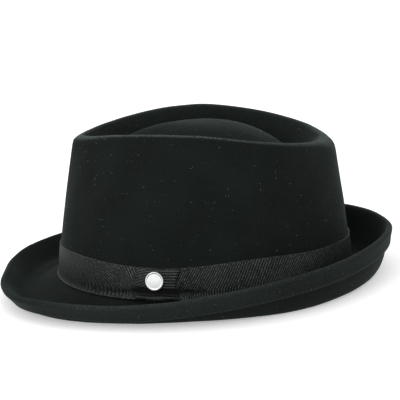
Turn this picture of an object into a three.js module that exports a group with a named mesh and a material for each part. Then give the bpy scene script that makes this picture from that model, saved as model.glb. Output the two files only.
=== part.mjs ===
// A black felt trilby: a felt body with a pinched teardrop crown and a curled brim, a ribbed
// ribbon band, the ribbon tab that covers the band's join, and a small round metal pin.
// Millimetres, +Z up. -Y is the front, +X is the wearer's left, and the brim rests on z = 0.
// Every piece is first worked out in the hat's own frame, where z = 0 is the plane of the
// break between crown and brim, and the hat is then leant back until its brim lies flat.

import * as THREE from "three";

const COLUMNS = 72;
const COLUMN_STEP = 360 / COLUMNS;
const CLEARANCE = 0.3;

// Felt, and the head opening for a size 58 head
const FELT = 2.2;
const BASE_HALF_LENGTH = 102.2;
const BASE_HALF_WIDTH = 86.2;

// Crown, by turn from the front: the ridge of the crown's rim, how round it is, how much of the
// wall's lean is left to its upper part, and the bottom of the channel behind the ridge
const CREST = [
  { side: 0, along: -81.3, height: 97.8, round: 7, lean: 1.25, channel: 85 },
  { side: 17, along: -72.3, height: 99.6, round: 6, lean: 1.6, channel: 85 },
  { side: 30, along: -58.5, height: 102.2, round: 4, lean: 1.7, channel: 84 },
  { side: 39.8, along: -47, height: 103.6, round: 3.2, lean: 1.7, channel: 83 },
  { side: 50.5, along: -31, height: 105, round: 3, lean: 1.5, channel: 82 },
  { side: 58, along: -16, height: 105.5, round: 3, lean: 1.3, channel: 82 },
  { side: 63.5, along: 2, height: 105.1, round: 3, lean: 1.2, channel: 82 },
  { side: 65.7, along: 20, height: 102.9, round: 3, lean: 1.2, channel: 81 },
  { side: 62.5, along: 41.5, height: 99.4, round: 3.5, lean: 1.2, channel: 80 },
  { side: 52.5, along: 59.5, height: 96.1, round: 4.5, lean: 1.2, channel: 79 },
  { side: 37, along: 73.5, height: 93.2, round: 6, lean: 1.2, channel: 78 },
  { side: 20, along: 80, height: 91.3, round: 10, lean: 1.25, channel: 78 },
  { side: 0, along: 83.2, height: 90.5, round: 10, lean: 1.25, channel: 78 },
];
const DOME_ALONG = -5;
const DOME_HEIGHT = 103.8;
const DOME_FLATNESS = 2.6;
const CHANNEL_AT = 0.8;
const DOME_ROWS = [0.28, 0.5, 0.7, 0.87, 1];
const FLANK_ROWS = [0.35, 0.62, 0.84];
const CREST_ARC = [0, 25, 50, 75];
const WALL_ROWS = [0.88, 0.72, 0.54, 0.38, 0.26, 0.13];

// Brim, by turn from the front: its lowest line, its lip, and the slope in degrees at the lip.
// Reach is measured square to the head opening, height from the break.
const BREAK_RADIUS = 4;
const BREAK_ARC = [5, 30, 55, 72];
const BRIM = [
  { dipReach: 23, dipHeight: -8.6, lipReach: 35.6, lipHeight: 3.6, lipSlope: 40 },
  { dipReach: 23.5, dipHeight: -9.2, lipReach: 39.2, lipHeight: 3.4, lipSlope: 42 },
  { dipReach: 24.5, dipHeight: -10, lipReach: 43, lipHeight: 4.2, lipSlope: 44 },
  { dipReach: 23, dipHeight: -9.4, lipReach: 40.3, lipHeight: 6.1, lipSlope: 50 },
  { dipReach: 20, dipHeight: -7, lipReach: 34.5, lipHeight: 6.4, lipSlope: 58 },
  { dipReach: 18, dipHeight: -5, lipReach: 32, lipHeight: 8.8, lipSlope: 64 },
  { dipReach: 17.8, dipHeight: -3.8, lipReach: 30.5, lipHeight: 12.9, lipSlope: 70 },
  { dipReach: 17, dipHeight: -3.8, lipReach: 29.5, lipHeight: 17, lipSlope: 74 },
  { dipReach: 16, dipHeight: -4, lipReach: 28.5, lipHeight: 20.3, lipSlope: 76 },
  { dipReach: 14, dipHeight: -3.8, lipReach: 25.5, lipHeight: 22.3, lipSlope: 78 },
  { dipReach: 12.5, dipHeight: -3.3, lipReach: 23.5, lipHeight: 24, lipSlope: 78 },
  { dipReach: 12, dipHeight: -2.5, lipReach: 23.5, lipHeight: 25, lipSlope: 78 },
  { dipReach: 12, dipHeight: -2, lipReach: 25, lipHeight: 24.5, lipSlope: 78 },
];
const BRIM_ROWS = [0.18, 0.36, 0.54, 0.7, 0.86, 1];
const CURVE_STEPS = 24;

// The brim's edge is folded under for the width of the welt and stitched down
const WELT = 10;
const WELT_STEP = 0.7;
const WELT_ROWS = [0, 0.5, 1];
const LIP_ARC = [50, 90, 130];

// Ribbon band, by turn from the front: where its upper edge lies
const BAND = [
  { top: 23 },
  { top: 24.5 },
  { top: 25 },
  { top: 24.3 },
  { top: 23 },
  { top: 22.4 },
  { top: 24 },
  { top: 25.9 },
  { top: 25.9 },
  { top: 24.6 },
  { top: 24.2 },
  { top: 23 },
  { top: 22.8 },
];
const BAND_BOTTOM = 1.2;
const BAND_THICKNESS = 0.8;
const BAND_ROWS = [0, 0.09, 0.3, 0.65, 1];

// Ribbon tab, from its lower edge up: how far its face stands off its plain thickness, which
// falls away at the crease above the lower edge, and how many degrees its rear edge is notched
const TAB_TURN = 71.9;
const TAB_HALF_TURN = 8.4;
const TAB_COLUMNS = 10;
const TAB_THICKNESS = 1.2;
const TAB_BELOW_BAND_TOP = 0.6;
const TAB = [
  { up: 0, swell: 0.2, notch: -0.3 },
  { up: 0.1, swell: 0.9, notch: -0.1 },
  { up: 0.2, swell: 1.1, notch: 0.2 },
  { up: 0.3, swell: 0.3, notch: 0.6 },
  { up: 0.42, swell: 0.2, notch: 1 },
  { up: 0.56, swell: 1, notch: 1.4 },
  { up: 0.7, swell: 1.4, notch: 1 },
  { up: 0.85, swell: 1.3, notch: 0.5 },
  { up: 1, swell: 0.3, notch: 0 },
];

// Pin
const PIN_TURN = 71.4;
const PIN_HEIGHT = 14.9;
const PIN_RADIUS = 6;
const PIN_THICKNESS = 1.4;
const PIN_BEVEL = 0.3;
const PIN_RIM = 0.9;
const PIN_SIDES = 32;

// How far the hat leans back when it rests on its brim, and how high the break then lies
const REST_TILT = THREE.MathUtils.degToRad(-1.4);
const REST_RISE = 6.8;

// One row of a table, with the rows past the front and the back mirrored
function tableRow(table, index) {
  const last = table.length - 1;
  if (index < 0) return { ...table[-index], side: -table[-index].side };
  if (index > last) return { ...table[2 * last - index], side: -table[2 * last - index].side };
  return table[index];
}

// A table's values at a turn of 0 to 180 degrees, on a smooth curve through its rows
function readTable(table, turn) {
  const place = (turn / 180) * (table.length - 1);
  const index = Math.min(Math.floor(place), table.length - 2);
  const t = place - index;
  const rows = [-1, 0, 1, 2].map((step) => tableRow(table, index + step));
  const values = {};
  for (const name of Object.keys(table[0])) {
    const [a, b, c, d] = rows.map((row) => row[name]);
    const curve = (2 * a - 5 * b + 4 * c - d) * t * t + (3 * b - a - 3 * c + d) * t * t * t;
    values[name] = b + 0.5 * ((c - a) * t + curve);
  }
  return values;
}

// Points of a smooth curve in the section's plane, which leaves and arrives at given slopes
function sweep(from, to) {
  const chord = Math.hypot(to.reach - from.reach, to.height - from.height);
  const handle = (end, share) => [
    end.reach + share * chord * Math.cos(end.slope),
    end.height + share * chord * Math.sin(end.slope),
  ];
  const curve = new THREE.CubicBezierCurve(
    new THREE.Vector2(from.reach, from.height),
    new THREE.Vector2(...handle(from, 1 / 3)),
    new THREE.Vector2(...handle(to, -1 / 3)),
    new THREE.Vector2(to.reach, to.height),
  );
  return curve.getPoints(CURVE_STEPS);
}

function headOpening(turn) {
  const angle = THREE.MathUtils.degToRad(turn);
  const point = new THREE.Vector3(BASE_HALF_WIDTH * Math.sin(angle), -BASE_HALF_LENGTH * Math.cos(angle), 0);
  const out = new THREE.Vector3(Math.sin(angle) / BASE_HALF_WIDTH, -Math.cos(angle) / BASE_HALF_LENGTH, 0);
  return { point, out: out.normalize() };
}

// The outer face of the felt in one upright section, from the dome out to the lip
function feltSection(turn) {
  const crest = readTable(CREST, turn);
  const brim = readTable(BRIM, turn);
  const { point: base, out } = headOpening(turn);
  const ridge = new THREE.Vector3(crest.side, crest.along, crest.height);
  const middle = new THREE.Vector3(0, DOME_ALONG, 0);
  const section = [];
  const inward = (share, height) => {
    const place = middle.clone().lerp(ridge.clone().setZ(0), share);
    section.push(place.setZ(height));
  };
  for (const row of DOME_ROWS) {
    inward(row * CHANNEL_AT, crest.channel + (DOME_HEIGHT - crest.channel) * (1 - row ** DOME_FLATNESS));
  }
  for (const row of FLANK_ROWS) {
    inward(
      CHANNEL_AT + (1 - CHANNEL_AT) * row,
      THREE.MathUtils.lerp(crest.channel, crest.height, THREE.MathUtils.smoothstep(row, 0, 1)),
    );
  }
  const fall = base.clone().sub(ridge).setZ(0).normalize();
  for (const degrees of CREST_ARC) {
    const angle = THREE.MathUtils.degToRad(degrees);
    const point = ridge.clone().addScaledVector(fall, crest.round * Math.sin(angle));
    section.push(point.setZ(crest.height - crest.round * (1 - Math.cos(angle))));
  }
  const shoulder = section.at(-1);
  const foot = base.clone().setZ(BREAK_RADIUS);
  for (const row of WALL_ROWS) {
    const point = foot.clone().lerp(shoulder, row ** crest.lean);
    section.push(point.setZ(THREE.MathUtils.lerp(foot.z, shoulder.z, row)));
  }
  const outward = (reach, height) => section.push(base.clone().addScaledVector(out, reach).setZ(height));
  for (const degrees of BREAK_ARC) {
    const angle = THREE.MathUtils.degToRad(degrees);
    outward(BREAK_RADIUS * (1 - Math.cos(angle)), BREAK_RADIUS * (1 - Math.sin(angle)));
  }
  const angle = THREE.MathUtils.degToRad(BREAK_ARC.at(-1));
  const start = {
    reach: BREAK_RADIUS * (1 - Math.cos(angle)),
    height: BREAK_RADIUS * (1 - Math.sin(angle)),
    slope: angle - Math.PI / 2,
  };
  const dip = { reach: brim.dipReach, height: brim.dipHeight, slope: 0 };
  const lip = {
    reach: brim.lipReach,
    height: brim.lipHeight,
    slope: THREE.MathUtils.degToRad(brim.lipSlope),
  };
  const curve = new THREE.CurvePath();
  const knots = [...sweep(start, dip), ...sweep(dip, lip).slice(1)];
  knots.slice(1).forEach((knot, index) => curve.add(new THREE.LineCurve(knots[index], knot)));
  const length = curve.getLength();
  const seam = 1 - WELT / length;
  const beforeSeam = BRIM_ROWS.map((row) => row * (seam - WELT_STEP / length));
  const welt = WELT_ROWS.map((row) => THREE.MathUtils.lerp(seam, 1, row));
  for (const share of [...beforeSeam, ...welt]) {
    const point = curve.getPoint(share);
    outward(point.x, point.y);
  }
  return section;
}

// The same section on either side of the hat, which is alike left and right
function feltColumn(column) {
  const turn = column * COLUMN_STEP;
  if (turn <= 180) return feltSection(turn);
  return feltSection(360 - turn).map((point) => point.setX(-point.x));
}

const columns = Array.from({ length: COLUMNS }, (_, column) => feltColumn(column));
const rowCount = columns[0].length;
const outerFelt = Array.from({ length: rowCount }, (_, row) => columns.map((points) => points[row]));
const apex = new THREE.Vector3(0, DOME_ALONG, DOME_HEIGHT);

// The outward direction at each point of the felt's outer face
const feltNormals = outerFelt.map((ring, row) =>
  ring.map((_, column) => {
    const above = row > 0 ? outerFelt[row - 1][column] : apex;
    const below = outerFelt[Math.min(row + 1, rowCount - 1)][column];
    const before = ring[(column + COLUMNS - 1) % COLUMNS];
    const after = ring[(column + 1) % COLUMNS];
    return below.clone().sub(above).cross(after.clone().sub(before)).normalize();
  }),
);

// A mesh from points and quads, which are cut into triangles
function solid(points, quads) {
  const geometry = new THREE.BufferGeometry().setFromPoints(points);
  geometry.setIndex(quads.flatMap(([a, b, c, d]) => (c === d ? [a, b, c] : [a, b, c, a, c, d])));
  geometry.computeVertexNormals();
  return geometry;
}

// Quads between rings of equal length, each ring running round the hat
function ringQuads(rings, length, joined) {
  const quads = [];
  const count = joined ? rings : rings - 1;
  for (let ring = 0; ring < count; ring++) {
    const next = ((ring + 1) % rings) * length;
    for (let place = 0; place < length; place++) {
      const after = (place + 1) % length;
      quads.push([ring * length + place, next + place, next + after, ring * length + after]);
    }
  }
  return quads;
}

// Lifts a point to the floor's height in the hat's own frame, or to some height above it, so that
// the brim's underside is flat where it rests and the felt above it keeps its thickness
function restOnFloor(point, above) {
  const floor = (-REST_RISE - point.y * Math.sin(REST_TILT)) / Math.cos(REST_TILT);
  return point.setZ(Math.max(point.z, floor + above));
}

function feltBody() {
  const weltRow = rowCount - WELT_ROWS.length;
  const depth = (row) => (row >= weltRow ? 2 * FELT : FELT);
  const innerFelt = outerFelt.map((ring, row) =>
    ring.map((point, column) => point.clone().addScaledVector(feltNormals[row][column], -depth(row))),
  );
  const lipRings = LIP_ARC.map((degrees) => {
    const angle = THREE.MathUtils.degToRad(degrees);
    return outerFelt.at(-1).map((point, column) => {
      const normal = feltNormals.at(-1)[column];
      const forward = point.clone().sub(outerFelt.at(-2)[column]).normalize();
      return point
        .clone()
        .addScaledVector(normal, FELT * (Math.cos(angle) - 1))
        .addScaledVector(forward, FELT * Math.sin(angle));
    });
  });
  const rings = [...outerFelt, ...lipRings, ...innerFelt.reverse()];
  const points = rings.flatMap((ring, index) => {
    const above = index < rowCount ? FELT : 0;
    return ring.map((point) => restOnFloor(point.clone(), above));
  });
  const quads = ringQuads(rings.length, COLUMNS, false);
  const last = (rings.length - 1) * COLUMNS;
  const outerApex = points.length;
  points.push(apex, apex.clone().setZ(DOME_HEIGHT - FELT));
  for (let column = 0; column < COLUMNS; column++) {
    const after = (column + 1) % COLUMNS;
    quads.push([outerApex, column, after, after]);
    quads.push([outerApex + 1, last + after, last + column, last + column]);
  }
  return solid(points, quads);
}

// A point of the crown's wall at a turn and height, lifted off the felt's facets
function onWall(turn, height, lift) {
  const place = turn / COLUMN_STEP;
  const column = Math.floor(place);
  const ends = [column % COLUMNS, (column + 1) % COLUMNS].map((index) => {
    let row = rowCount - 1 - BRIM_ROWS.length - WELT_ROWS.length;
    while (outerFelt[row - 1][index].z < height) row--;
    const low = outerFelt[row][index];
    const high = outerFelt[row - 1][index];
    const share = (height - low.z) / (high.z - low.z);
    const point = low.clone().lerp(high, share);
    const normal = feltNormals[row][index].clone().lerp(feltNormals[row - 1][index], share);
    return point.addScaledVector(normal.normalize(), lift);
  });
  return ends[0].lerp(ends[1], place - column);
}

const bandTop = (turn) => readTable(BAND, turn <= 180 ? turn : 360 - turn).top;

function ribbonBand() {
  const ringAt = (row, lift) =>
    Array.from({ length: COLUMNS }, (_, column) => {
      const turn = column * COLUMN_STEP;
      return onWall(turn, THREE.MathUtils.lerp(BAND_BOTTOM, bandTop(turn), row), lift);
    });
  const outer = BAND_ROWS.map((row) => ringAt(row, CLEARANCE + BAND_THICKNESS)).reverse();
  const inner = BAND_ROWS.map((row) => ringAt(row, CLEARANCE));
  const rings = [...outer, ...inner];
  return solid(rings.flat(), ringQuads(rings.length, COLUMNS, true));
}

const tabBack = 2 * CLEARANCE + BAND_THICKNESS;

function ribbonTab() {
  const gridAt = (lift) =>
    TAB.map((row) =>
      Array.from({ length: TAB_COLUMNS + 1 }, (_, column) => {
        const width = 2 * TAB_HALF_TURN - row.notch;
        const turn = TAB_TURN - TAB_HALF_TURN + (width * column) / TAB_COLUMNS;
        const top = bandTop(turn) - TAB_BELOW_BAND_TOP;
        return onWall(turn, THREE.MathUtils.lerp(BAND_BOTTOM, top, row.up), lift(row));
      }),
    );
  const outer = gridAt((row) => tabBack + TAB_THICKNESS + row.swell).reverse();
  const inner = gridAt(() => tabBack);
  const rings = [...outer, ...inner];
  const length = TAB_COLUMNS + 1;
  const quads = ringQuads(rings.length, length, true).filter((_, index) => (index + 1) % length !== 0);
  for (let row = 0; row < TAB.length - 1; row++) {
    const twin = rings.length - 1 - row;
    const corners = [row, row + 1, twin - 1, twin].map((ring) => ring * length);
    quads.push([corners[0], corners[3], corners[2], corners[1]]);
    quads.push(corners.map((corner) => corner + length - 1));
  }
  return solid(rings.flat(), quads);
}

// A plain disc with a low rim round its face
function pinDisc() {
  const face = PIN_THICKNESS - PIN_BEVEL;
  const profile = [
    [0, 0],
    [PIN_RADIUS - PIN_BEVEL, 0],
    [PIN_RADIUS, PIN_BEVEL],
    [PIN_RADIUS, face],
    [PIN_RADIUS - PIN_BEVEL, PIN_THICKNESS],
    [PIN_RADIUS - PIN_RIM, PIN_THICKNESS],
    [PIN_RADIUS - PIN_RIM - PIN_BEVEL, face],
    [0, face],
  ];
  return new THREE.LatheGeometry(
    profile.map(([radius, height]) => new THREE.Vector2(radius, height)),
    PIN_SIDES,
  );
}

const felt = new THREE.MeshStandardMaterial({ color: 0x0b0e0e, roughness: 0.95 });
const ribbon = new THREE.MeshStandardMaterial({ color: 0x17191b, roughness: 0.75 });
const metal = new THREE.MeshStandardMaterial({ color: 0xd5d7d8, roughness: 0.3, metalness: 1 });

const hat = new THREE.Group();

function add(name, geometry, material) {
  const mesh = new THREE.Mesh(geometry, material);
  mesh.name = name;
  hat.add(mesh);
  return mesh;
}

add("felt_body", feltBody(), felt);
add("ribbon_band", ribbonBand(), ribbon);
add("ribbon_tab", ribbonTab(), ribbon);

// The pin lies flat on the proudest line of the tab's face
const proudest = Math.max(...TAB.map((row) => row.swell));
const pinLift = tabBack + TAB_THICKNESS + proudest + CLEARANCE;
const pin = add("pin", pinDisc(), metal);
pin.position.copy(onWall(PIN_TURN, PIN_HEIGHT, pinLift));
const pinAxis = pin.position.clone().sub(onWall(PIN_TURN, PIN_HEIGHT, 0)).normalize();
pin.quaternion.setFromUnitVectors(new THREE.Vector3(0, 1, 0), pinAxis);

hat.rotation.x = REST_TILT;
hat.position.z = REST_RISE;

// The origin lies on the floor, under the middle of the brim's length and width
const part = new THREE.Group();
part.add(hat);
part.updateMatrixWorld(true);
const centre = new THREE.Box3().setFromObject(hat, true).getCenter(new THREE.Vector3());
hat.position.x -= centre.x;
hat.position.y -= centre.y;

export default part;
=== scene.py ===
import math

import bmesh
import bpy
import numpy as np
from mathutils import Matrix, Vector
from mathutils.bvhtree import BVHTree


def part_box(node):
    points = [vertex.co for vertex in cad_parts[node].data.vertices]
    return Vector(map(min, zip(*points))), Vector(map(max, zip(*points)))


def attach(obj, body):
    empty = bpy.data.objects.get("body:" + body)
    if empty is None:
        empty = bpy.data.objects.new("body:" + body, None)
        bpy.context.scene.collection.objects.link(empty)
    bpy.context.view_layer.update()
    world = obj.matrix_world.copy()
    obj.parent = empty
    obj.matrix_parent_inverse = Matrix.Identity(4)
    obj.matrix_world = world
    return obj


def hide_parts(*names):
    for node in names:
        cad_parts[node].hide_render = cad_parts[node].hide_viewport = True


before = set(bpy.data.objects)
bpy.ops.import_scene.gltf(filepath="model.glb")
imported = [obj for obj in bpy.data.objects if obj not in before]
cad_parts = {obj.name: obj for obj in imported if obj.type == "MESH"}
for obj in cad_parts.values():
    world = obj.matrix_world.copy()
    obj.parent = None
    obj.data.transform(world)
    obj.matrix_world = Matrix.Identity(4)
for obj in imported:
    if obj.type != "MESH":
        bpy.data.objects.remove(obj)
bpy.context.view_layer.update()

# Felt body. Crown and brim are one piece of black wool felt, blocked over a wooden form,
# brushed to a short nap and left bare inside. The edge of the brim is folded under for 10 mm.
# Lengths are in metres, unless a comment says otherwise.
# The columns and rings of the solid felt's skin, and the ring where its folded edge starts
FELT_COLUMNS = 72
FELT_RINGS = 65
WELT_RING = 28
WELD = 1e-5
FELT_LEVELS = 2
CAGE_ROUNDS = 4
UNEVEN_SIZE = 0.02
UNEVEN_DEPTH = 0.0004
# How far the nap is rubbed pale, partly wear and partly a painted highlight, by ring: on the fold
# of the crown's rim and along the lip
RUBBED_AND_HIGHLIT = [(0, 0), (4, 0), (7, 0.1), (8, 0.75), (9, 0.95), (10, 0.25), (11, 0), (29, 0), (30, 0.1),
          (31, 0.35), (32, 0.35), (33, 0.25), (34, 0.1), (36, 0.08), (37, 0), (64, 0)]
# The share of it from the front of the hat to the back
RUBBED_AND_HIGHLIT_ALONG = [(-0.12, 0.3), (-0.1, 0.5), (-0.08, 1.2), (0, 1.1), (0.08, 0.7)]


def select_only(obj):
    bpy.ops.object.select_all(action="DESELECT")
    obj.select_set(True)
    bpy.context.view_layer.objects.active = obj


def copy_of_node(node, name):
    """A new piece with a CAD node's shape, its loose triangles joined into one skin of quads."""
    obj = bpy.data.objects.new(name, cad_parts[node].data.copy())
    bpy.context.scene.collection.objects.link(obj)
    obj.data.materials.clear()
    select_only(obj)
    bpy.ops.object.mode_set(mode="EDIT")
    bpy.ops.mesh.select_all(action="SELECT")
    bpy.ops.mesh.remove_doubles(threshold=WELD)
    skin = bmesh.from_edit_mesh(obj.data)
    # The fans of triangles at the felt's two tips stay as they are
    for face in skin.faces:
        if any(len(vertex.link_edges) == FELT_COLUMNS for vertex in face.verts):
            face.select = False
    bmesh.update_edit_mesh(obj.data)
    bpy.ops.mesh.tris_convert_to_quads(
        face_threshold=math.pi, shape_threshold=math.pi, topology_influence=2
    )
    bpy.ops.object.mode_set(mode="OBJECT")
    return obj


def points_of(obj):
    points = np.empty(len(obj.data.vertices) * 3)
    obj.data.vertices.foreach_get("co", points)
    return points.reshape(-1, 3)


def place_points(obj, points):
    obj.data.vertices.foreach_set("co", np.asarray(points, float).ravel())
    obj.data.update()


def keep_values(obj, name, values):
    """Keeps a value at each of a piece's points, for its material to read."""
    kept = obj.data.attributes.new(name, "FLOAT", "POINT")
    kept.data.foreach_set("value", np.asarray(values, float).ravel())


def apply_modifiers(obj):
    select_only(obj)
    for modifier in list(obj.modifiers):
        bpy.ops.object.modifier_apply(modifier=modifier.name)


def on_lines(rows, at):
    """Values read from a table of two columns, on straight lines between its rows."""
    return np.interp(at, *zip(*rows))


def felt_rings(obj):
    """The felt's vertices ring by ring, from the crown's tip over the lip to the inside."""
    skin = bmesh.new()
    skin.from_mesh(obj.data)
    tips = [vertex for vertex in skin.verts if len(vertex.link_edges) == FELT_COLUMNS]
    ring = [max(tips, key=lambda vertex: vertex.co.z)]
    seen = set(ring)
    rings = []
    for _ in range(FELT_RINGS):
        near = {edge.other_vert(vertex) for vertex in ring for edge in vertex.link_edges}
        ring = sorted(near - seen, key=lambda vertex: math.atan2(vertex.co.x, -vertex.co.y))
        seen.update(ring)
        rings.append([vertex.index for vertex in ring])
    skin.free()
    return np.array(rings)


def smooth_over(obj, levels):
    """Subdivides a skin so that the smooth surface still runs through the skin's own points."""
    wanted = points_of(obj)
    rounded = obj.modifiers.new("rounded", "SUBSURF")
    rounded.levels = levels
    rounded.render_levels = levels
    cage = wanted.copy()
    for _ in range(CAGE_ROUNDS):
        place_points(obj, cage)
        shown = obj.evaluated_get(bpy.context.evaluated_depsgraph_get()).to_mesh()
        reached = np.array([vertex.co for vertex in shown.vertices[: len(wanted)]])
        cage += wanted - reached
    place_points(obj, cage)
    apply_modifiers(obj)


felt = copy_of_node("felt_body", "felt_crown_and_brim")
felt_points = points_of(felt)
rings = felt_rings(felt)
under_ring = FELT_RINGS - 1 - WELT_RING
welt_edge = felt_points[rings[under_ring]]
welt_middle = felt_points[rings[under_ring - 1]]
# The pale nap on the rim's fold and the lip, kept at each point: partly wear, partly a painted
# highlight
rubbed_and_highlit_by_ring = on_lines(RUBBED_AND_HIGHLIT, np.arange(FELT_RINGS))[:, None]
rubbed_and_highlit = np.zeros(len(felt_points))
rubbed_and_highlit[rings] = rubbed_and_highlit_by_ring * on_lines(RUBBED_AND_HIGHLIT_ALONG, felt_points[rings, 1])
keep_values(felt, "rubbed_and_highlit", rubbed_and_highlit)
smooth_over(felt, FELT_LEVELS)
unevenness = bpy.data.textures.new("hand_blocked", "CLOUDS")
unevenness.noise_scale = UNEVEN_SIZE
unevenness.noise_depth = 1
uneven = felt.modifiers.new("uneven", "DISPLACE")
uneven.texture = unevenness
uneven.strength = UNEVEN_DEPTH
apply_modifiers(felt)
# The table presses the brim's underside flat
felt_points = points_of(felt)
felt_points[:, 2] = felt_points[:, 2].clip(min=0)
place_points(felt, felt_points)
bpy.ops.object.shade_smooth()


def new_material(name):
    material = bpy.data.materials.new(name)
    material.use_nodes = True
    return material, material.node_tree, material.node_tree.nodes["Principled BSDF"]


def set_inputs(tree, node, values):
    """Sets a node's inputs to numbers or colours, or links them to other nodes' outputs."""
    for name, value in values.items():
        socket = node.inputs[name]
        if isinstance(value, bpy.types.NodeSocket):
            tree.links.new(value, socket)
        elif isinstance(value, tuple):
            socket.default_value = (*value, 1.0)
        else:
            socket.default_value = value


def object_place(tree):
    return tree.nodes.new("ShaderNodeTexCoord").outputs["Object"]


def noise(tree, place, scale, detail, roughness):
    node = tree.nodes.new("ShaderNodeTexNoise")
    values = {"Vector": place, "Scale": scale, "Detail": detail, "Roughness": roughness}
    set_inputs(tree, node, values)
    return node.outputs["Fac"]


def remap(tree, value, low, high):
    """A value from low to high, spread over 0 to 1."""
    node = tree.nodes.new("ShaderNodeMapRange")
    set_inputs(tree, node, {"Value": value, "From Min": low, "From Max": high})
    return node.outputs["Result"]


def multiply(tree, first, second):
    node = tree.nodes.new("ShaderNodeMath")
    node.operation = "MULTIPLY"
    set_inputs(tree, node, {0: first, 1: second})
    return node.outputs["Value"]


def mix(tree, factor, first, second):
    """Blends two colours by a factor."""
    node = tree.nodes.new("ShaderNodeMix")
    node.data_type = "RGBA"
    # The node's inputs 6 and 7 are its colours A and B, and its output 2 is their blend
    set_inputs(tree, node, {0: factor, 6: first, 7: second})
    return node.outputs[2]


def bump(tree, height, distance, strength, over=None):
    node = tree.nodes.new("ShaderNodeBump")
    set_inputs(tree, node, {"Height": height, "Distance": distance, "Strength": strength})
    if over is not None:
        set_inputs(tree, node, {"Normal": over})
    return node.outputs["Normal"]


def kept_values(tree, name):
    node = tree.nodes.new("ShaderNodeAttribute")
    node.attribute_name = name
    return node.outputs["Fac"]


felt_black, tree, shader = new_material("black_wool_felt")
place = object_place(tree)
patches = noise(tree, place, scale=26, detail=4, roughness=0.6)
patches = remap(tree, patches, low=0.32, high=0.68)
nap = noise(tree, place, scale=1500, detail=3, roughness=0.7)
nap_tips = remap(tree, nap, low=0.5, high=0.8)
clumps = noise(tree, place, scale=900, detail=3, roughness=0.6)
clumps = remap(tree, clumps, low=0.3, high=0.65)
tangle = noise(tree, place, scale=420, detail=5, roughness=0.65)
tangle = bump(tree, tangle, distance=0.0006, strength=0.35)
felt_colour = mix(tree, patches, (0.0030, 0.0045, 0.0040), (0.0060, 0.0086, 0.0077))
felt_colour = mix(tree, nap_tips, felt_colour, (0.0125, 0.0175, 0.016))
# Paler colour on the rim's fold and the lip: partly rubbed wear, partly a painted highlight
rubbed_and_highlit_share = multiply(tree, kept_values(tree, "rubbed_and_highlit"), clumps)
felt_colour = mix(tree, rubbed_and_highlit_share, felt_colour, (0.07, 0.086, 0.079))
set_inputs(tree, shader, {
    "Base Color": felt_colour,
    "Roughness": 0.95,
    "Specular IOR Level": 0.12,
    "Sheen Weight": 0.06,
    "Sheen Roughness": 0.3,
    "Sheen Tint": (0.6, 0.95, 0.86),
    "Normal": bump(tree, nap, distance=0.0003, strength=0.5, over=tangle),
})
felt.data.materials.append(felt_black)

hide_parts("felt_body")
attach(felt, "root")

# Welt stitches. A row of short black thread stitches holds the folded edge of the brim down on
# its underside, 1 mm in from the cut edge.
STITCH_PITCH = 0.0034
STITCH_LENGTH = 0.0025
STITCH_WIDTH = 0.00045
STITCH_SINK = 0.00005
# Where the first stitch lies along the row, in pitches, and where the row lies, as a share of the
# way from the welt's cut edge to its middle
FIRST_STITCH = 0.25
STITCH_FROM_EDGE = 0.22
# How far ahead of a stitch its direction is taken, in pitches
LOOK_AHEAD = 0.25

felt_surface = BVHTree.FromObject(felt, bpy.context.evaluated_depsgraph_get())


def even_places(loop, pitch):
    """Points about a pitch apart along a closed line, with the line's direction at each."""
    closed = np.vstack([loop, loop[:1]])
    run = np.concatenate([[0], np.cumsum(np.linalg.norm(np.diff(closed, axis=0), axis=1))])
    count = round(run[-1] / pitch)
    at = (np.arange(count) + FIRST_STITCH) * run[-1] / count
    ahead = at + pitch * LOOK_AHEAD
    here, there = (
        np.stack([np.interp(runs, run, closed[:, axis]) for axis in range(3)], axis=1)
        for runs in (at, ahead)
    )
    return here, there - here


def lie_on(surface, point, direction, lift):
    """A place on a surface, near a point, with X along a direction and Z out of it."""
    at, normal, _, _ = surface.find_nearest(Vector(point))
    along = Vector(direction)
    along = (along - along.project(normal)).normalized()
    turn = Matrix((along, normal.cross(along), normal)).transposed()
    return Matrix.Translation(at + normal * lift) @ turn.to_4x4()


def repeat_shape(template, places, name):
    """One piece made of copies of a small closed shape, and the shape itself is removed."""
    shape = points_of(template)
    corners = [face.vertices[:] for face in template.data.polygons]
    points = [shape @ np.array(matrix.to_3x3()).T + matrix.translation for matrix in places]
    starts = [len(shape) * copy for copy in range(len(places))]
    faces = [[start + corner for corner in face] for start in starts for face in corners]
    mesh = bpy.data.meshes.new(name)
    mesh.from_pydata(np.vstack(points).tolist(), [], faces)
    obj = bpy.data.objects.new(name, mesh)
    bpy.context.scene.collection.objects.link(obj)
    bpy.data.objects.remove(template)
    select_only(obj)
    bpy.ops.object.shade_smooth()
    return obj


stitch_line = welt_edge + (welt_middle - welt_edge) * STITCH_FROM_EDGE
stitch_places = [
    lie_on(felt_surface, middle, direction, -STITCH_SINK)
    for middle, direction in zip(*even_places(stitch_line, STITCH_PITCH))
]
bpy.ops.object.select_all(action="DESELECT")
bpy.ops.mesh.primitive_uv_sphere_add(segments=8, ring_count=5, radius=0.5)
stitch = bpy.context.object
bpy.ops.transform.rotate(value=math.pi / 2, orient_axis="Y", center_override=(0, 0, 0))
bpy.ops.transform.resize(value=(STITCH_LENGTH, STITCH_WIDTH, STITCH_WIDTH))
bpy.ops.object.transform_apply(location=True, rotation=True, scale=True)
stitches = repeat_shape(stitch, stitch_places, "welt_stitches")

thread, tree, shader = new_material("black_sewing_thread")
twist = noise(tree, object_place(tree), scale=2600, detail=2, roughness=0.6)
set_inputs(tree, shader, {
    "Base Color": mix(tree, twist, (0.005, 0.006, 0.006), (0.028, 0.032, 0.03)),
    "Roughness": 0.65,
    "Specular IOR Level": 0.2,
    "Normal": bump(tree, twist, distance=0.0002, strength=0.4),
})
stitches.data.materials.append(thread)
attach(stitches, "root")

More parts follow.
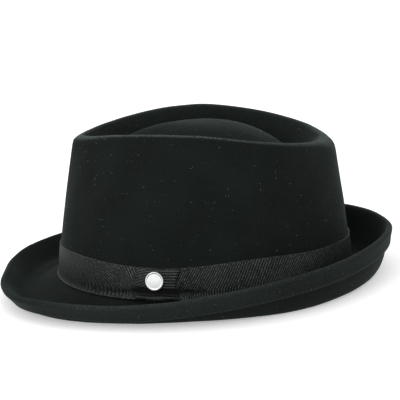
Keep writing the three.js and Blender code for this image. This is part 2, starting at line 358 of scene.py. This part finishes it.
# Lint. Pale specks of dust and a few curled wool fibres cling to the nap of the felt's outer
# face, as on any black felt.
LINT_SEED = 11
LINT_SPECKS = 1400
SPECK_LENGTHS = (0.00025, 0.0008)
LINT_FIBRES = 40
FIBRE_LENGTHS = (0.0025, 0.005)
LINT_LIFT = 0.00004
LINT_LOWEST = 0.004
RAY_START = 0.0005
# Sizes of a speck and a fibre 1 long: a speck's length, width and height, and a fibre's
# thickness and the two shares of its curl
SPECK_FLATNESS = (1, 0.4, 0.25)
FIBRE_THINNESS = 0.016
FIBRE_BEND = 0.6
FIBRE_HOOK = 0.8
FIBRE_STEPS = 8

chance = np.random.default_rng(LINT_SEED)
felt_face_middles = np.array([face.center[:] for face in felt.data.polygons])
felt_face_areas = np.array([face.area for face in felt.data.polygons])
# Lint lies only where a ray straight out of the felt gets away from it, so not in its hollow
felt_faces_out = np.array([
    felt_surface.ray_cast(face.center + face.normal * RAY_START, face.normal)[0] is None
    for face in felt.data.polygons
])
lint_share = felt_face_areas * felt_faces_out * (felt_face_middles[:, 2] > LINT_LOWEST)
lint_share /= lint_share.sum()

pale_lint, tree, shader = new_material("pale_wool_lint")
lint_tone = noise(tree, object_place(tree), scale=120, detail=2, roughness=0.5)
lint_tone = remap(tree, lint_tone, low=0.3, high=0.7)
set_inputs(tree, shader, {
    "Base Color": mix(tree, lint_tone, (0.025, 0.033, 0.03), (0.3, 0.34, 0.32)),
    "Roughness": 0.9,
    "Specular IOR Level": 0.1,
})


def lint_places(count, lengths):
    """Places for bits of lint, at random on the felt's outer face, each at its own size."""
    places = []
    for pick in chance.choice(len(lint_share), count, p=lint_share):
        spot = lie_on(felt_surface, felt_face_middles[pick], chance.normal(size=3), LINT_LIFT)
        places.append(spot @ Matrix.Scale(chance.uniform(*lengths), 4))
    return places


def finish_lint(bits):
    bits.data.materials.append(pale_lint)
    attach(bits, "root")


bpy.ops.object.select_all(action="DESELECT")
bpy.ops.mesh.primitive_ico_sphere_add(subdivisions=1, radius=0.5)
speck = bpy.context.object
bpy.ops.transform.resize(value=SPECK_FLATNESS)
bpy.ops.object.transform_apply(location=True, rotation=True, scale=True)
finish_lint(repeat_shape(speck, lint_places(LINT_SPECKS, SPECK_LENGTHS), "lint_specks"))

bpy.ops.object.select_all(action="DESELECT")
bpy.ops.mesh.primitive_cylinder_add(vertices=4, radius=FIBRE_THINNESS / 2, depth=1)
fibre = bpy.context.object
bpy.ops.transform.rotate(value=math.pi / 2, orient_axis="Y", center_override=(0, 0, 0))
bpy.ops.object.transform_apply(location=True, rotation=True, scale=True)
bpy.ops.object.mode_set(mode="EDIT")
for step in range(1, FIBRE_STEPS):
    bpy.ops.mesh.select_all(action="SELECT")
    bpy.ops.mesh.bisect(plane_co=(step / FIBRE_STEPS - 0.5, 0, 0), plane_no=(1, 0, 0))
bpy.ops.object.mode_set(mode="OBJECT")
curled = points_of(fibre)
curled[:, 1] += FIBRE_BEND * (curled[:, 0] ** 2 + FIBRE_HOOK * curled[:, 0] ** 3)
place_points(fibre, curled)
finish_lint(repeat_shape(fibre, lint_places(LINT_FIBRES, FIBRE_LENGTHS), "lint_fibres"))

# Ribbon band. A black ribbon about 25 mm wide, with raised ribs across it, runs round the foot
# of the crown. The tab draws it in, so its ribs lean there and its lower part folds out.
# The foot of the crown, as the solids have it: an ellipse that lies tilted when the hat rests
BREAK_HEIGHT = 0.0068
REST_TILT = math.radians(-1.4)
BASE_HALF_LENGTH = 0.1022
BASE_HALF_WIDTH = 0.0862
# The band's upright edges in the solids, the heights of its points on them from 0 to 1, and how
# many edges are read past a full turn
BAND_COLUMNS = 72
BAND_STEP = 360 / BAND_COLUMNS
BAND_UPS = np.array([0, 0.09, 0.3, 0.65, 1])
WRAP = 4
# Degrees of turn from one rib to the next
RIB_GAPS = [(0, 1.3), (30, 1.4), (48, 1.6), (62, 1.4), (78, 1), (92, 0.92), (106, 1.05),
            (118, 1.2), (150, 1.2), (180, 1.25), (360, 1.3)]
TURN_STEP = 0.1
COLUMNS_PER_RIB = 6
RIB_DEPTH = 0.00045
RIB_SHARPNESS = 1.4
RIBBON_THICKNESS = 0.0005
RIBBON_SMOOTH = math.radians(65)
RIBBON_WELD = 1e-6

band_low, band_high = (np.array(corner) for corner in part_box("ribbon_band"))
break_centre = np.array([0, (band_low[1] + band_high[1]) / 2, BREAK_HEIGHT])


def crown_turn(points):
    """Turn from the front, in degrees, of points near the foot of the crown."""
    level = (points - break_centre) @ np.array(Matrix.Rotation(REST_TILT, 3, "X"))
    angle = np.arctan2(level[:, 0] / BASE_HALF_WIDTH, -level[:, 1] / BASE_HALF_LENGTH)
    return np.degrees(angle)


def smooth_through(rows, places, at):
    """Values at some places on a smooth curve through rows of values at rising places."""
    slopes = np.gradient(rows, places, axis=0)
    first = np.clip(np.searchsorted(places, at, side="right") - 1, 0, len(places) - 2)
    shape = (-1,) + (1,) * (rows.ndim - 1)
    gap = (places[first + 1] - places[first]).reshape(shape)
    t = (at - places[first]).reshape(shape) / gap
    ends = rows[first] * (2 * t**3 - 3 * t**2 + 1) + rows[first + 1] * (3 * t**2 - 2 * t**3)
    leans = slopes[first] * (t**3 - 2 * t**2 + t) + slopes[first + 1] * (t**3 - t**2)
    return ends + leans * gap


def on_curve(rows, at):
    """Values read from a table of two columns, on a smooth curve through its rows."""
    places, values = np.array(rows, float).T
    return smooth_through(values, places, np.asarray(at, float))


measure = copy_of_node("ribbon_band", "band_measure")
band_points = points_of(measure)
band_turns = crown_turn(band_points)
bpy.data.objects.remove(measure)
outer_face = []
for column in range(BAND_COLUMNS):
    off = (band_turns - column * BAND_STEP + 180) % 360 - 180
    upright = band_points[np.abs(off) < BAND_STEP / 2]
    pairs = upright[np.argsort(upright[:, 2])].reshape(-1, 2, 3)
    outer_face.append([max(pair, key=lambda point: np.hypot(*point[:2])) for pair in pairs])
outer_face = np.array(outer_face)
outer_face = np.concatenate([outer_face[-WRAP:], outer_face, outer_face[:WRAP]])
face_turns = (np.arange(len(outer_face)) - WRAP) * BAND_STEP
fine_turns = np.linspace(0, 360, round(360 / TURN_STEP) + 1)
ribs_passed = np.cumsum(TURN_STEP / on_lines(RIB_GAPS, fine_turns))
ribs_passed -= ribs_passed[0]
rib_count = round(ribs_passed[-1])
rib_places = np.arange(rib_count * COLUMNS_PER_RIB + 1) / COLUMNS_PER_RIB
rib_turns = np.interp(rib_places / rib_count, ribs_passed / ribs_passed[-1], fine_turns)


def ribbon_face(turns, ups):
    """The ribbon's plain outer face and its outward directions, at a row of turns for each
    height, which runs from 0 at the ribbon's lower edge to 1 at its upper edge."""
    upright = smooth_through(outer_face, face_turns, rib_turns)
    points = smooth_through(upright.transpose(1, 0, 2), BAND_UPS, np.asarray(ups, float))
    out = np.cross(np.gradient(points, axis=1), np.gradient(points, axis=0))
    out /= np.linalg.norm(out, axis=2, keepdims=True)
    return [
        np.stack([
            [np.interp(row, rib_turns, line, period=360) for line in values.T]
            for row, values in zip(turns, grid)
        ]).transpose(0, 2, 1)
        for grid in (points, out)
    ]


def rib_wave(places):
    """How far the ribs stand out, from 0 to 1, at places counted in ribs."""
    return (0.5 - 0.5 * np.cos(places * math.tau)) ** RIB_SHARPNESS


def ribbon_piece(points, crest, thickness, name):
    """A ribbon whose outer face runs through a grid of points, with the ribs' crests kept."""
    rows, columns = points.shape[:2]
    bpy.ops.object.select_all(action="DESELECT")
    bpy.ops.mesh.primitive_grid_add(x_subdivisions=columns - 1, y_subdivisions=rows - 1)
    ribbon = bpy.context.object
    ribbon.name = name
    place_points(ribbon, points.reshape(-1, 3))
    keep_values(ribbon, "rib_crest", crest)
    bpy.ops.object.mode_set(mode="EDIT")
    bpy.ops.mesh.select_all(action="SELECT")
    bpy.ops.mesh.remove_doubles(threshold=RIBBON_WELD)
    bpy.ops.object.mode_set(mode="OBJECT")
    thick = ribbon.modifiers.new("thickness", "SOLIDIFY")
    thick.thickness = thickness
    apply_modifiers(ribbon)
    bpy.ops.object.shade_smooth_by_angle(angle=RIBBON_SMOOTH)
    return ribbon


# How far the ribs' lower ends lie nearer to the tab than their upper ends, in degrees of turn
LEAN = [(0, 0), (18, 2), (30, 6.5), (40, 11), (49, 11.5), (57, 7), (63, 4), (72, 0), (80, -3.5),
        (90, -5), (104, -5), (116, -5), (130, -8), (142, -8), (156, -3), (175, 0), (185, 0),
        (360, 0)]
CREASE_UP = 0.3
# How far the ribbon stands off its plain shape beside the tab, by height, in millimetres
FOLD = [(0, 1.6), (0.12, 1.7), (0.2, 1), (0.27, 0), (0.31, -0.2), (0.35, 0.1), (0.41, 1.3),
        (0.5, 1.6), (0.65, 1.1), (0.82, 0.4), (1, 0)]
# How far the ribs in the crease are painted the valleys' dark, as painted shade in the crease, by
# height
CREASE_PAINTED_SHADE = [(0, 0), (0.2, 0.1), (0.27, 0.8), (0.33, 1), (0.38, 0.7), (0.44, 0), (1, 0)]
# How much of the fold there is, and how high it lies, by turn
FOLD_SHARE = [(0, 0), (36, 0), (47, 0.4), (57, 1), (61, 1), (63.5, 0), (80.3, 0), (82.5, 0.75),
              (90, 0.55), (99, 0), (360, 0)]
FOLD_RISE = [(0, 0.5), (36, 0.5), (60, 1), (84, 0.95), (96, 0.8), (360, 0.8)]
# How much the ribs stand out, by turn. They are pulled flatter round the front and the back.
RIB_SHARE = [(0, 0.2), (30, 0.3), (42, 0.5), (52, 1), (128, 1), (145, 0.5), (165, 0.3), (195, 0.3),
             (215, 0.5), (232, 1), (308, 1), (330, 0.3), (360, 0.2)]
RIB_MEAN = 0.12
# The plain selvedge along both edges: its width, as a share of the ribbon's, and its height, as
# a share of the ribs'
SELVEDGE_UP = 0.045
SELVEDGE_HEIGHT = 0.6
BAND_ROWS = [0, 0.015, 0.03, 0.045, 0.1, 0.16, 0.22, 0.27, 0.31, 0.35, 0.4, 0.5, 0.62, 0.74,
             0.86, 0.93, 0.955, 0.97, 0.985, 1]

band_rows = np.array(BAND_ROWS)[:, None]
lean_share = np.clip((1 - band_rows) / (1 - CREASE_UP), 0, 1)
band_shape, band_out = ribbon_face(rib_turns + on_curve(LEAN, rib_turns) * lean_share, BAND_ROWS)
fold_share = on_lines(FOLD_SHARE, rib_turns)
up_fold = band_rows / on_lines(FOLD_RISE, rib_turns)
fold = fold_share * on_lines(FOLD, up_fold) / 1000
rib = RIB_MEAN + (rib_wave(rib_places) - RIB_MEAN) * on_lines(RIB_SHARE, rib_turns)
inside = np.clip(np.minimum(band_rows, 1 - band_rows) / SELVEDGE_UP, 0, 1)
crest = rib * inside + SELVEDGE_HEIGHT * (1 - inside)
band_shape += band_out * (fold + (crest - 1) * RIB_DEPTH)[:, :, None]
# The ribs' colour in the crease goes to the valleys' dark: painted shade in the crease
crest *= 1 - fold_share * on_lines(CREASE_PAINTED_SHADE, up_fold)
band = ribbon_piece(band_shape, crest, RIBBON_THICKNESS, "ribbon_band_ribbed")


def ribbon_material(name, valley_shade, top, glint):
    """Ribbed ribbon, with painted shade between its ribs, a painted highlight on them and painted
    glints along their tops.
    """
    material, tree, shader = new_material(name)
    place = object_place(tree)
    rib_crest = kept_values(tree, "rib_crest")
    weave = noise(tree, place, scale=1900, detail=2, roughness=0.6)
    wear = noise(tree, place, scale=60, detail=3, roughness=0.5)
    wear = remap(tree, wear, low=0.1, high=0.7)
    glints = noise(tree, place, scale=1100, detail=1, roughness=0.5)
    glints = remap(tree, glints, low=0.45, high=0.65)
    # The crests take the top colour as a painted highlight, and the valleys the dark colour as
    # painted shade
    colour = mix(tree, multiply(tree, rib_crest, wear), valley_shade, top)
    set_inputs(tree, shader, {
        "Base Color": mix(tree, multiply(tree, rib_crest, glints), colour, glint),
        "Roughness": 0.55,
        "Specular IOR Level": 0.15,
        "Sheen Weight": 0.04,
        "Sheen Roughness": 0.35,
        "Normal": bump(tree, weave, distance=0.0002, strength=0.35),
    })
    return material


# The band's colours: painted shade in the valleys, a painted highlight on the crests, painted
# glints
band.data.materials.append(ribbon_material(
    "black_ribbed_ribbon", (0.0014, 0.002, 0.0019), (0.036, 0.044, 0.042), (0.095, 0.112, 0.106)
))
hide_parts("ribbon_band")
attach(band, "root")

# Ribbon tab. A short length of the same ribbon is folded flat over the band's join, so that its
# ribs lie level. It is nipped in above its lower edge, and its lower end flares out again.
# The tab's middle and half its width, in degrees of turn, and its top, by height on the band
TAB_TURN = 71.9
TAB_HALF_TURN = 8.4
TAB_TOP_UP = 0.974
TAB_RIBS = 12
ROWS_PER_RIB = 8
TAB_RIB_DEPTH = 0.0006
TAB_THICKNESS = 0.0006
TAB_ACROSS = [0, 0.01, 0.03, 0.06, 0.11, 0.18, 0.26, 0.35, 0.45, 0.55, 0.65, 0.74, 0.82, 0.89,
              0.94, 0.97, 0.99, 1]
# How far the tab's face stands off the band, by height, in millimetres
TAB_LIFT = [(0, 2.3), (0.02, 2.9), (0.05, 3.3), (0.09, 3.4), (0.13, 3.2), (0.16, 2.6), (0.19, 1.8),
            (0.22, 1.3), (0.26, 1.2), (0.42, 1.2), (0.435, 2.3), (0.45, 2.8), (0.48, 3.05),
            (0.6, 3.05), (0.8, 2.8), (0.93, 2.4), (0.98, 1.7), (1, 1.2)]
# How far the nip above the lower end presses the ribs flat and paints them the valleys' dark, as
# painted shade in the nip, by height
TAB_NIP_FLAT_AND_SHADE = [(0, 0), (0.15, 0), (0.18, 0.9), (0.3, 1), (0.42, 1), (0.44, 0), (1, 0)]
# How far each side edge is drawn in, by height, in degrees of turn
TAB_REAR_NOTCH = [(0, -0.3), (0.1, -0.1), (0.2, 0.2), (0.3, 0.6), (0.42, 1), (0.56, 1.4),
                  (0.7, 1), (0.85, 0.5), (1, 0)]
TAB_FRONT_NOTCH = [(0, 0), (0.3, 0.3), (0.45, 0.5), (0.7, 0.2), (1, 0)]
# How much of its lift the tab keeps near its side edges
TAB_SIDE = [(0, 0.5), (0.012, 0.85), (0.04, 0.97), (0.08, 1), (0.5, 1)]
# How far the ribs hang down, in ribs, from the front edge to the rear one. Those of the upper
# part droop towards both edges, and those of the lower end slant.
TAB_DROOP = [(0, -1.7), (0.12, -0.9), (0.3, -0.15), (0.5, 0.05), (0.8, 0.05), (1, -0.15)]
TAB_SLANT = [(0, 0.4), (1, -1.1)]
# The share of the droop by height. The rest is slant.
DROOP_SHARE = [(0.3, 0), (0.45, 1)]

tab_rows = np.linspace(0, 1, TAB_RIBS * ROWS_PER_RIB + 1)[:, None]
across = np.array(TAB_ACROSS)
front = TAB_TURN - TAB_HALF_TURN + on_curve(TAB_FRONT_NOTCH, tab_rows.ravel())[:, None]
rear = TAB_TURN + TAB_HALF_TURN - on_curve(TAB_REAR_NOTCH, tab_rows.ravel())[:, None]
tab_shape, tab_out = ribbon_face(front + (rear - front) * across, tab_rows.ravel() * TAB_TOP_UP)
side = on_lines(TAB_SIDE, np.minimum(across, 1 - across))
lift = on_lines(TAB_LIFT, tab_rows) / 1000 * side
droop_share = on_lines(DROOP_SHARE, tab_rows)
hang = on_curve(TAB_DROOP, across) * droop_share + on_lines(TAB_SLANT, across) * (1 - droop_share)
# In the nip the ribs are flattened and take the valleys' dark colour: painted shade
tab_crest = rib_wave(tab_rows * TAB_RIBS - hang) * (1 - on_lines(TAB_NIP_FLAT_AND_SHADE, tab_rows))
tab_shape += tab_out * (lift + (tab_crest - 1) * TAB_RIB_DEPTH * side)[:, :, None]
tab = ribbon_piece(tab_shape, tab_crest, TAB_THICKNESS, "ribbon_tab_ribbed")
# The same ribbon as the band, in a lit copy: paler crests as a painted highlight, darker valleys
# as painted shade
tab.data.materials.append(ribbon_material(
    "black_folded_ribbon_painted_light", (0.0008, 0.001, 0.001), (0.055, 0.061, 0.058), (0.09, 0.099, 0.095)
))
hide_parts("ribbon_tab")
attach(tab, "root")

# Pin. A plain round disc of bright silver-coloured metal with a low rim round its face, pinned
# through the tab. Its face swells a little towards the middle.
PIN_RADIUS = 0.006
PIN_THICKNESS = 0.0014
PIN_SIDES = 96
PIN_RIM = 0.0007
PIN_FACE_DEPTH = 0.0003
PIN_SWELL_RINGS = 4
PIN_SWELL_WIDTH = PIN_RADIUS / 6
PIN_SWELL_RISE = PIN_RADIUS / 200
PIN_BEVEL = 0.00018
PIN_BEVEL_STEPS = 3
PIN_BEVEL_ANGLE = math.radians(30)
PIN_SMOOTH = math.radians(40)
FACES_UP = 0.9

pin_points = points_of(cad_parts["pin"])
pin_middle = (pin_points.min(axis=0) + pin_points.max(axis=0)) / 2
# The direction in which the solid pin is thinnest, away from the hat
pin_axis = Vector(np.linalg.svd(pin_points - pin_points.mean(axis=0), full_matrices=False)[2][2])
if pin_axis.x < 0:
    pin_axis.negate()
bpy.ops.object.select_all(action="DESELECT")
bpy.ops.mesh.primitive_cylinder_add(vertices=PIN_SIDES, radius=PIN_RADIUS, depth=PIN_THICKNESS)
pin = bpy.context.object
pin.name = "pin_disc"
bpy.ops.object.mode_set(mode="EDIT")
bpy.ops.mesh.select_all(action="DESELECT")
disc = bmesh.from_edit_mesh(pin.data)
for face in disc.faces:
    face.select = face.normal.z > FACES_UP
bmesh.update_edit_mesh(pin.data)
bpy.ops.mesh.inset(thickness=PIN_RIM)
bpy.ops.mesh.inset(thickness=PIN_FACE_DEPTH, depth=-PIN_FACE_DEPTH)
for _ in range(PIN_SWELL_RINGS):
    bpy.ops.mesh.inset(thickness=PIN_SWELL_WIDTH, depth=PIN_SWELL_RISE)
bpy.ops.mesh.select_all(action="DESELECT")
bpy.ops.object.mode_set(mode="OBJECT")
rounded = pin.modifiers.new("rounded_edges", "BEVEL")
rounded.width = PIN_BEVEL
rounded.segments = PIN_BEVEL_STEPS
rounded.limit_method = "ANGLE"
rounded.angle_limit = PIN_BEVEL_ANGLE
apply_modifiers(pin)
pin_turn = pin_axis.to_track_quat("Z", "Y").to_matrix().to_4x4()
pin.data.transform(Matrix.Translation(pin_middle) @ pin_turn)
bpy.ops.object.shade_smooth_by_angle(angle=PIN_SMOOTH)

silver, tree, shader = new_material("bright_silver_metal")
place = object_place(tree)
brushing = noise(tree, place, scale=1300, detail=3, roughness=0.6)
scuffs = noise(tree, place, scale=380, detail=4, roughness=0.7)
scuffs = remap(tree, scuffs, low=0.35, high=0.7)
set_inputs(tree, shader, {
    "Base Color": mix(tree, scuffs, (0.72, 0.73, 0.74), (0.9, 0.9, 0.9)),
    "Metallic": 1.0,
    "Roughness": 0.32,
    "Normal": bump(tree, brushing, distance=0.00008, strength=0.3),
})
pin.data.materials.append(silver)
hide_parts("pin")
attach(pin, "root")

# Studio table. A white sheet, lit a little from below, in soft light from all round,
# and a camera square to the hat's left side and a little above it.
FLOOR_SIZE = 30
FLOOR_GLOW = 0.35
# Each softbox's name, place, width and power in watts, and the point they all face
SOFTBOXES = [
    ("top_softbox", (0.2, -0.1, 1.5), 1.2, 2),
    ("front_softbox", (1.2, -0.9, 0.9), 0.9, 4),
]
LIT_MIDDLE = (0, 0, 0.05)
# The camera's turn is in degrees, its lens and sensor in millimetres
CAMERA_FROM_BREAK = (0.9613, 0.00675, 0.2756)
CAMERA_TURN = (76.652, 3.735, 89.561)
CAMERA_LENS = 127.5
CAMERA_NEAREST = 0.01
SENSOR = 36

bpy.ops.object.select_all(action="DESELECT")
bpy.ops.mesh.primitive_plane_add(size=FLOOR_SIZE)
floor = bpy.context.object
floor.name = "floor"
white, tree, shader = new_material("white_table")
set_inputs(tree, shader, {
    "Base Color": (0.86, 0.86, 0.86),
    "Roughness": 0.9,
    "Specular IOR Level": 0.1,
    "Emission Color": (1.0, 1.0, 1.0),
    "Emission Strength": FLOOR_GLOW,
})
floor.data.materials.append(white)

world = bpy.data.worlds.new("white_surround")
world.use_nodes = True
surround = world.node_tree.nodes["Background"]
set_inputs(world.node_tree, surround, {"Color": (1.0, 1.0, 1.0), "Strength": 1.0})
bpy.context.scene.world = world
bpy.context.scene.view_settings.view_transform = "Standard"

for name, spot, width, power in SOFTBOXES:
    bpy.ops.object.light_add(type="AREA", location=spot)
    light = bpy.context.object
    light.name = name
    light.data.shape = "DISK"
    light.data.size = width
    light.data.energy = power
    towards = Vector(LIT_MIDDLE) - Vector(spot)
    light.rotation_euler = towards.to_track_quat("-Z", "Y").to_euler()

bpy.ops.object.camera_add(
    location=break_centre + CAMERA_FROM_BREAK,
    rotation=[math.radians(angle) for angle in CAMERA_TURN],
)
camera = bpy.context.object
camera.data.lens = CAMERA_LENS
camera.data.sensor_width = SENSOR
camera.data.clip_start = CAMERA_NEAREST
bpy.context.scene.camera = camera
